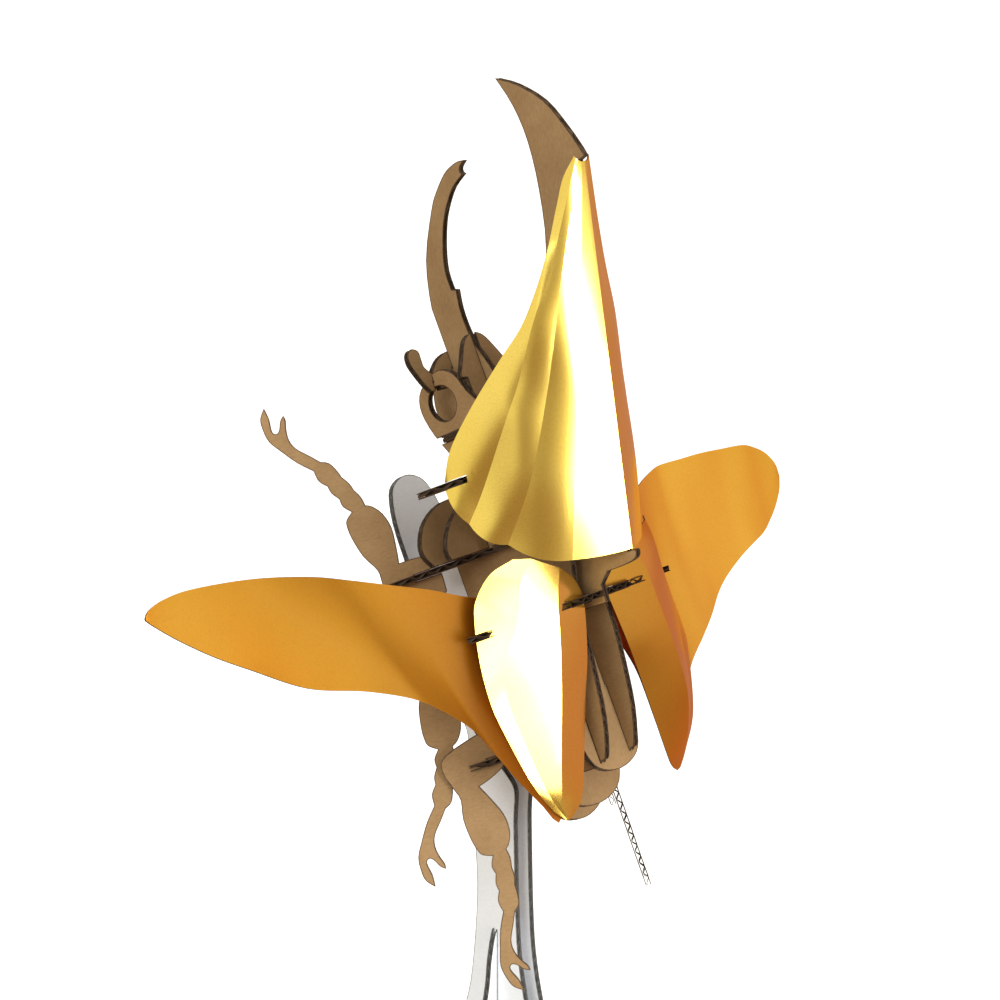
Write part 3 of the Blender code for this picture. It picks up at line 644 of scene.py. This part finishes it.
def lofted(name, columns, creases=()):
    """A grid whose points are moved onto the columns, its creases marked as sharp edges."""
    bpy.ops.object.select_all(action="DESELECT")
    bpy.ops.mesh.primitive_grid_add(x_subdivisions=len(columns) - 1,
                                    y_subdivisions=len(columns[0]) - 1, size=2.0)
    card = bpy.context.object
    card.name = card.data.name = name
    wide, tall = len(columns) - 1, len(columns[0]) - 1
    column_of = []
    for vert in card.data.vertices:
        i, j = round((vert.co.x + 1) / 2 * wide), round((vert.co.y + 1) / 2 * tall)
        vert.co = columns[i][j] * MM
        column_of.append(i)
    for edge in card.data.edges:
        a, b = (column_of[k] for k in edge.vertices)
        edge.use_edge_sharp = a == b and a in creases
    card.data.update()
    return card


# %% [markdown]
# Boards poke out through slots in the card. A Boolean with a box would do, but it leaves long
# thin faces that show as streaks in the foil. Bisecting the card along the slot's sides and
# ends keeps its rows and columns, and the faces between the cuts are then deleted.

# %% Slots in the card
HALF_SLOT = 1.8            # half width of a slot that takes a board, in millimetres


def slot_card(card, y, ends, cut):
    """Cut a slot along x at y, with its ends there, from the faces for whose x cut is true."""
    low, high = (y - HALF_SLOT) * MM, (y + HALF_SLOT) * MM
    for edge_y in (low, high):
        take(card)
        bpy.ops.object.mode_set(mode="EDIT")
        bpy.ops.mesh.select_all(action="SELECT")
        bpy.ops.mesh.bisect(plane_co=(0, edge_y, 0), plane_no=(0, 1, 0))
        bpy.ops.object.mode_set(mode="OBJECT")
    for end_x in ends:
        pick_faces(card, lambda f: low < f.center.y < high)
        bpy.ops.mesh.bisect(plane_co=(end_x * MM, 0, 0), plane_no=(1, 0, 0))
        bpy.ops.object.mode_set(mode="OBJECT")
    pick_faces(card, lambda f: low < f.center.y < high and cut(f.center.x / MM))
    bpy.ops.mesh.delete(type="FACE")
    bpy.ops.object.mode_set(mode="OBJECT")


print("slots are", 2 * HALF_SLOT, "mm wide")

# %% [markdown]
# A card piece is finished in a fixed order: points that meet are merged, the face is turned
# outwards while the sheet is still open, and only then does it get its thickness, with the
# scorched finish on the new rim. Last it moves into the world and takes the CAD node's place.

# %% Finish a card
CARD = 0.6 * MM
CREASE_ANGLE = 25.0        # degrees from which an unmarked edge is sharp too


def finish_card(card, node, foil):
    """Thickness, finish, crisp creases and the place in the world."""
    take(card)
    bpy.ops.object.mode_set(mode="EDIT")
    bpy.ops.mesh.select_all(action="SELECT")
    bpy.ops.mesh.remove_doubles(threshold=2e-5)
    bpy.ops.mesh.select_all(action="SELECT")
    bpy.ops.mesh.normals_make_consistent(inside=False)
    bpy.ops.object.mode_set(mode="OBJECT")
    if sum(face.normal.z * face.area for face in card.data.polygons) < 0:
        card.data.flip_normals()
    card.data.materials.clear()
    card.data.materials.append(foil)
    card.data.materials.append(GOLD_RIM)
    apply_modifier(card, "SOLIDIFY", thickness=CARD, offset=0.0, material_offset_rim=1)
    place(card, BODY)
    take(card)
    bpy.ops.object.shade_smooth_by_angle(angle=math.radians(CREASE_ANGLE), keep_sharp_edges=True)
    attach(card, "root")
    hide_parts(node)
    sharp = sum(edge.use_edge_sharp for edge in card.data.edges)
    print(card.name, len(card.data.polygons), "faces", sharp, "sharp edges")
    return card


print("card is", round(CARD / MM, 2), "mm thick")

# %% [markdown]
# The pronotum is the folded shield behind the horn: a ridge along the middle, three creases a
# side that fan out from the horn's root, and a free margin. It could be bent from a flat
# sheet by a cloth simulation, but its creases are crisp and still, so they are drawn, and the
# strips between them arch. The soft card is pressed in a little on the right, below the horn.

# %% Pronotum
ROWS = 64
SHIELD_COLUMNS = 8         # columns to each strip of the shield
SHIELD_SLOT_Y = 73.0
SHIELD_SLOT_X = 56.0       # the slots run out from here to the shield's margins
BACK_SLOPE = 0.3063        # rise of the ridge towards the head
RIDGE_ENDS = (193.5, 15.6)      # y of the ridge at the horn and at the rear edge
RIDGE_FOOT = (14.8, 52.5)       # the y and z that its slope starts from
RIGHT_PRESS = 1.7          # how far the right side is pressed in, at this y and about it
PRESS_AT = 143
PRESS_REACH = 22
SHIELD_CREASES = (         # points, swell and bulge of the strip that ends at each
    ([(1.6, 193.4, 106.9), (7.4, 153, 92.4), (13.1, 118, 78.8), (17.2, 89, 66.7), (22, 55, 53),
      (26, 19.8, 37.8)], (0, -0.6, -0.2), 0.012),
    ([(3.2, 194.2, 106.8), (15.7, 153.2, 88.2), (22.2, 126.9, 76.1), (27.9, 97.4, 60.4),
      (38, 62.1, 41.3), (46.3, 37, 20.8)], (1.4, -2.4, -1.0), 0.034),
    ([(4.4, 195.5, 107), (20.9, 150.8, 82.9), (30.4, 130.4, 69.9), (37.1, 106.7, 54.1),
      (42.7, 92.4, 43.7), (51, 65.4, 22), (57, 52.5, 11.5)], (1.6, -2.2, -1.2), 0.042),
    ([(5, 196.7, 106.7), (8.5, 189, 98.7), (12.6, 177.9, 92.8), (20.9, 157.8, 83.4),
      (28, 140.8, 72.5), (33.4, 129.9, 63.4), (40.3, 119.9, 51.3), (50.4, 103, 31.4),
      (58, 88, 17), (61, 74, 9)], (2.4, -0.8, -0.8), 0.036),
)
top, rear = (Vector((0, y, RIDGE_FOOT[1] + BACK_SLOPE * (y - RIDGE_FOOT[0]))) for y in RIDGE_ENDS)
ridge = [top.lerp(rear, i / (ROWS - 1)) for i in range(ROWS)]


def shield_side(press):
    """Columns of one side of the shield; the press narrows it below the horn."""
    columns, last = [], ridge
    for points, swell, bulge in SHIELD_CREASES:
        pressed = []
        for x, y, z in points:
            give = press * math.exp(-((y - PRESS_AT) / PRESS_REACH) ** 2)
            pressed.append((x - give, y, z - give))
        crease = curve_3d(pressed, ROWS)
        columns += strip(last, crease, SHIELD_COLUMNS, swell, bulge)
        last = crease
    return columns


shield = mirror_columns(shield_side(0.0)) + [ridge] + shield_side(RIGHT_PRESS)
pronotum = lofted("pronotum_card", shield, range(SHIELD_COLUMNS, len(shield) - 1, SHIELD_COLUMNS))
slot_card(pronotum, SHIELD_SLOT_Y, (-SHIELD_SLOT_X, SHIELD_SLOT_X),
          lambda x: abs(x) > SHIELD_SLOT_X)
finish_card(pronotum, "pronotum", GOLD)

# %% [markdown]
# A wing case is a long shell: an inner edge beside the middle line, two creases, and an outer
# margin that curls down. A board across the body pokes out through a slot at each edge. Both
# cases come from one set of columns, and the left one is mirrored before it is lofted, so
# that each has a mesh and a foil of its own.

# %% Wing cases
CASE_COLUMNS = (8, 10, 6)       # columns to each strip, from the inner edge out
CASE_SLOT_Y = 0.0
CASE_SLOT_X = (21.8, 65.8)      # the slots run from here to the inner and the outer edge
inner = curve_3d([(13, 12, 22), (8.8, 3, 19.6), (10.5, -8, 18.2), (15.5, -27, 14.8),
                  (21, -45, 9.8), (32.5, -86, -1.5), (37.5, -94.5, -5.5),
                  (42, -97.5, -7.5)], ROWS)
crease_1 = curve_3d([(26, 18.5, 27.8), (33, 5, 26.8), (38, -16, 22.9), (43.5, -38, 18),
                     (48.4, -60, 11.6), (49, -78, 3.4), (47, -90, -3.5), (43, -97, -7.2)], ROWS)
crease_2 = curve_3d([(43, 27, 28.5), (50, 17.6, 23.4), (54.5, 1.8, 18.2), (63, -14, 10),
                     (66, -32, 5), (62, -58, 2.4), (55, -80, -2), (44, -96.8, -7.2)], ROWS)
outer = curve_3d([(49, 29.5, 23), (58, 26.4, 14.2), (65, 17.4, 6.8), (68.6, 8, 4.4),
                  (72, -10, 2.2), (73.4, -28, 1), (72, -42, 0.4), (63, -72, -2.4),
                  (52, -89, -6.2), (45, -96.2, -7.2)], ROWS)
edges = (inner, crease_1, crease_2, outer)
case = [inner]
for first, second, count in zip(edges, edges[1:], CASE_COLUMNS):
    case += strip(first, second, count)
case_creases = (CASE_COLUMNS[0], CASE_COLUMNS[0] + CASE_COLUMNS[1])
mirrored_creases = tuple(len(case) - 1 - column for column in case_creases)
for side, word, foil in ((-1, "left", GOLD), (1, "right", CASE_GOLD_SHADED)):
    shell = lofted(f"wing_case_{word}_card", mirror_columns(case) if side < 0 else case,
                   mirrored_creases if side < 0 else case_creases)
    slot_card(shell, CASE_SLOT_Y, tuple(side * x for x in CASE_SLOT_X),
              lambda x: not CASE_SLOT_X[0] < abs(x) < CASE_SLOT_X[1])
    finish_card(shell, f"wing_case_{word}", foil)

# %% [markdown]
# The hind wings are single cards, dished a little, that spread from under the wing cases. Soft
# card never bends quite alike on both sides, so each wing has edges of its own. A wing has no
# crease: its columns run straight from the leading to the trailing edge and sag between them.

# %% Hind wings
WING_EDGES = {             # leading edge, then trailing edge, both from the root to the tip
    "left": ([(19.5, 7, 7), (40, 13, 3.6), (60, 19, 0), (80, 29.2, -5.1), (100, 37.7, -9.1),
              (120, 45.7, -12), (138, 53, -16.6), (165, 60.4, -23.2), (196, 64.5, -27.7),
              (212, 64, -30), (222, 61.3, -30), (226, 58.2, -29)],
             [(19.5, -22, 5), (24, -31, 3.5), (30, -46, 1), (38, -80, -6), (46, -97, -10.2),
              (51, -86.4, -12.6), (58, -70.3, -15.8), (64, -56.8, -17), (71, -41.2, -18.7),
              (83, -26.2, -23), (95, -16.3, -26.5), (118, -5.8, -29), (150, 4.8, -30),
              (181, 21.9, -27.5), (198, 32.9, -28), (213, 45.2, -29.3), (222, 53.9, -30),
              (226, 57.4, -29)]),
    "right": ([(19.5, 7, 7), (40, 14, 3.6), (60, 24, -2), (80, 36, -10), (100, 46, -18),
               (118, 51.4, -22), (127, 53, -23), (141, 52.6, -20), (155, 52.2, -17.5),
               (170, 50.9, -15.6), (185, 49.1, -12.2), (193, 45.8, -11.5), (199, 41.3, -10.5),
               (203, 34, -9.5), (204, 27.4, -10.4)],
              [(19.5, -22, 5), (24, -31, 3.5), (30, -46, 1), (38, -80, -6), (46, -97, -10.2),
               (56, -82, -9), (66, -64, -6.6), (76, -50.1, -3.8), (88, -40, -1.5),
               (103, -30.9, -3.5), (118, -21.8, -7.2), (131, -15.3, -9.2), (148, -8.4, -10),
               (162, -3.5, -9.4), (174, 0.2, -9.8), (184, 5.3, -10.9), (192, 11, -10.9),
               (200, 19.1, -10.6), (204, 26.4, -10.4)]),
}
WING_BOW = 2.2             # depth of the dish in millimetres
WING_COLUMNS = 90
WING_ROWS = 24
WING_SLOT_Y = 0.0
WING_SLOT_X = 30.5         # the slot runs from the root out to here
for side, word in ((-1, "left"), (1, "right")):
    leading, trailing = (curve_3d(edge, WING_COLUMNS) for edge in WING_EDGES[word])
    columns = []
    for i, (a, b) in enumerate(zip(leading, trailing)):
        bow = WING_BOW * math.sin(math.pi * i / (WING_COLUMNS - 1))
        columns.append([a.lerp(b, k / WING_ROWS)
                        + Vector((0, 0, -4 * bow * k / WING_ROWS * (1 - k / WING_ROWS)))
                        for k in range(WING_ROWS + 1)])
    card = lofted(f"wing_{word}_card", mirror_columns(columns) if side < 0 else columns)
    slot_card(card, WING_SLOT_Y, (side * WING_SLOT_X,), lambda x: abs(x) < WING_SLOT_X)
    finish_card(card, f"wing_{word}", WING_GOLD_SHADED)

# %% [markdown]
# The floor is a pale sheet of paper. The photograph shows none of it, only white, so the floor
# glows faintly to stay white to its edge. It is hidden from the gold, which would mirror it as
# a bright band from below, and it neither lights nor shades the boards.

# %% Floor
FLOOR_RADIUS = 9.0
FLOOR_GLOW = 0.45
bpy.ops.object.select_all(action="DESELECT")
bpy.ops.mesh.primitive_circle_add(vertices=96, radius=FLOOR_RADIUS, fill_type="NGON",
                                  location=(0, 0, 0))
floor = bpy.context.object
floor.name = "studio_floor"
floor_paper, tree, shader, add = start_finish("floor_paper", 0.9)
speckle = add("ShaderNodeTexNoise", in_Scale=6.0, in_Detail=2.0)
where = add("ShaderNodeTexCoord")
tree.links.new(where.outputs["Object"], speckle.inputs["Vector"])
pale = ramp(add, [(0.3, (0.9, 0.9, 0.895)), (0.7, (0.93, 0.93, 0.925))])
tree.links.new(speckle.outputs["Fac"], pale.inputs["Fac"])
tree.links.new(pale.outputs["Color"], shader.inputs["Base Color"])
shader.inputs["Emission Color"].default_value = (1.0, 1.0, 1.0, 1.0)
shader.inputs["Emission Strength"].default_value = FLOOR_GLOW
floor.data.materials.append(floor_paper)
floor.visible_glossy = False
floor.visible_diffuse = False
floor.visible_shadow = False
print("floor", 2 * FLOOR_RADIUS, "m wide")

# %% [markdown]
# Foil shows the room more than its own colour, so the room is part of the finish. An even grey
# room makes it dull. This one has soft walls that go from light to dark and back as a
# direction turns from left to right, which draws the bands on the creased shield, with darker
# brown low down and a pale ceiling. Everything in it is smooth: no sharp shape is mirrored.

# %% Room
world = bpy.data.worlds.new("room")
bpy.context.scene.world = world
world.use_nodes = True
room_tree = world.node_tree
way = room_tree.nodes.new("ShaderNodeTexCoord")
direction = room_tree.nodes.new("ShaderNodeSeparateXYZ")
room_tree.links.new(way.outputs["Generated"], direction.inputs["Vector"])


def blend_along(axis, low, high, first, second):
    """Mix two room colours as a direction's x or z goes from low to high."""
    share = room_tree.nodes.new("ShaderNodeMapRange")
    share.interpolation_type = "SMOOTHSTEP"
    share.inputs["From Min"].default_value = low
    share.inputs["From Max"].default_value = high
    room_tree.links.new(direction.outputs[axis], share.inputs["Value"])
    mix = room_tree.nodes.new("ShaderNodeMix")
    mix.data_type = "RGBA"
    room_tree.links.new(share.outputs["Result"], mix.inputs["Factor"])
    for name, colour in (("A", first), ("B", second)):
        if isinstance(colour, tuple):
            mix.inputs[name].default_value = (*colour, 1.0)
        else:
            socket = "Color" if "Color" in colour.outputs else "Result"
            room_tree.links.new(colour.outputs[socket], mix.inputs[name])
    return mix


# x of a direction, from far left to far right, and the colour of the wall there
WALLS = ((-1.0, (0.95, 0.92, 0.75)), (-0.86, (0.95, 0.9, 0.7)), (-0.74, (0.42, 0.35, 0.25)),
         (-0.6, (0.45, 0.37, 0.26)), (-0.4, (0.8, 0.72, 0.52)), (-0.24, (1.0, 0.94, 0.75)),
         (0.0, (0.72, 0.79, 0.72)), (0.7, (0.78, 0.54, 0.38)), (0.9, (0.72, 0.49, 0.33)))
LOW_COOL = (0.33, 0.22, 0.14)
LOW_WARM = (0.55, 0.24, 0.14)
CEILING = (0.95, 0.95, 0.92)
spread = room_tree.nodes.new("ShaderNodeMapRange")
spread.inputs["From Min"].default_value = -1.0
room_tree.links.new(direction.outputs["X"], spread.inputs["Value"])
walls = ramp(room_tree.nodes.new, [((x + 1) / 2, colour) for x, colour in WALLS])
room_tree.links.new(spread.outputs["Result"], walls.inputs["Fac"])
low_walls = blend_along("X", 0.2, 0.9, LOW_COOL, LOW_WARM)
room = blend_along("Z", -0.12, 0.03, low_walls, walls)
room = blend_along("Z", 0.3, 0.9, room, CEILING)
room_tree.links.new(room.outputs["Result"], room_tree.nodes["Background"].inputs["Color"])
print("room nodes:", len(room_tree.nodes))

# %% [markdown]
# The lamps are softboxes: wide rectangles that face the shield, set by their direction as seen
# from it. Their brightness is given for each square metre, so that a wider box doesn't get
# dimmer in the foil. Light linking keeps a lamp off the pieces where the photograph shows no
# trace of it, which in a studio is done with black card held between lamp and piece.

# %% Softboxes and what they light
SHOULDER = Vector((0, -0.06, 0.45))      # the spot on the shield that the lamps face


def softbox(name, azimuth, elevation, distance, spread, glow, warmth=(1.0, 1.0, 1.0)):
    """A rectangular lamp that faces the shield: its angles in degrees and its brightness."""
    a, e = math.radians(azimuth), math.radians(elevation)
    way = Vector((math.sin(a) * math.cos(e), -math.cos(a) * math.cos(e), math.sin(e)))
    lamp = bpy.data.lights.new(name, "AREA")
    lamp.shape = "RECTANGLE"
    lamp.size, lamp.size_y = (2 * distance * math.tan(math.radians(s / 2)) for s in spread)
    lamp.energy = glow * math.pi * lamp.size * lamp.size_y
    lamp.color = warmth
    thing = bpy.data.objects.new(name, lamp)
    bpy.context.scene.collection.objects.link(thing)
    thing.location = SHOULDER + way * distance
    thing.rotation_euler = (-way).to_track_quat("-Z", "Y").to_euler()
    return thing


def light_link(lamp, starts, state):
    """Let a lamp light only the pieces whose names start so, or all but them."""
    group = bpy.data.collections.new(lamp.name + "_pieces")
    for thing in bpy.data.objects:
        if thing.name.endswith(("_card", "_board")) and thing.name.startswith(starts):
            group.objects.link(thing)
    for entry in group.collection_objects:
        entry.light_linking.link_state = state
    lamp.light_linking.receiver_collection = group


print("the lamps face", [round(v, 2) for v in SHOULDER])

# %% [markdown]
# The key softbox stands squarely behind the beetle and gives the shield its white streak. A
# small fill on the camera's side and a wide, weaker light from the left bring up the boards.
# The last three each serve a few pieces: a low one makes the wings glow, and two paint the
# white middle and the yellow flank of the left case.

# %% Lamps
FAR_OFF = 4.0              # metres from the shield to most of the lamps
key = softbox("key_softbox", -2, 0, FAR_OFF, (22, 36), 12.0)
softbox("camera_side_fill", -54, 30, FAR_OFF, (24, 14), 3.0)
side_light = softbox("left_side_light", -84, 12, FAR_OFF, (44, 40), 2.75, (0.96, 0.985, 1.0))
glow = softbox("wing_glow", 0, -14, 1.1, (40, 24), 0.32, (1.0, 0.86, 0.62))
light_link(key, ("wing_left", "wing_right", "wing_case_right", "cross_"), "EXCLUDE")
light_link(side_light, ("pronotum", "wing_"), "EXCLUDE")
light_link(glow, ("wing_left", "wing_right"), "INCLUDE")
case_fill = softbox("case_fill", -60, 24, FAR_OFF, (56, 44), 1.2, (1.0, 1.0, 0.95))
case_key = softbox("case_key", -14, -4, FAR_OFF, (86, 60), 4.0)
for lamp in (case_fill, case_key):
    light_link(lamp, "wing_case_left", "INCLUDE")

# %% [markdown]
# The camera stands where the photograph was taken from: 48 degrees round to the beetle's left
# and behind, 16.5 degrees above it, 1.3 m away. Its lens follows from the picture's scale. The
# plain view transform is used, because the default one can't reach the foil's strong yellows.

# %% Camera
AZIMUTH, ELEVATION = math.radians(48), math.radians(16.5)
DISTANCE = 1.3
TARGET = Vector((0, 0.003, 0.343))
SENSOR = 36.0              # millimetres, as is the lens
LENS = 93.6
back = Vector((-math.sin(AZIMUTH) * math.cos(ELEVATION),
               -math.cos(AZIMUTH) * math.cos(ELEVATION), math.sin(ELEVATION)))
lens = bpy.data.cameras.new("camera")
lens.sensor_width = SENSOR
lens.lens = LENS
lens.clip_start, lens.clip_end = 0.05, 60.0
camera = bpy.data.objects.new("camera", lens)
bpy.context.scene.collection.objects.link(camera)
camera.location = TARGET + back * DISTANCE
camera.rotation_euler = (-back).to_track_quat("-Z", "Y").to_euler()
bpy.context.scene.camera = camera
bpy.context.scene.view_settings.view_transform = "Standard"
print("camera at", [round(v, 3) for v in camera.location])
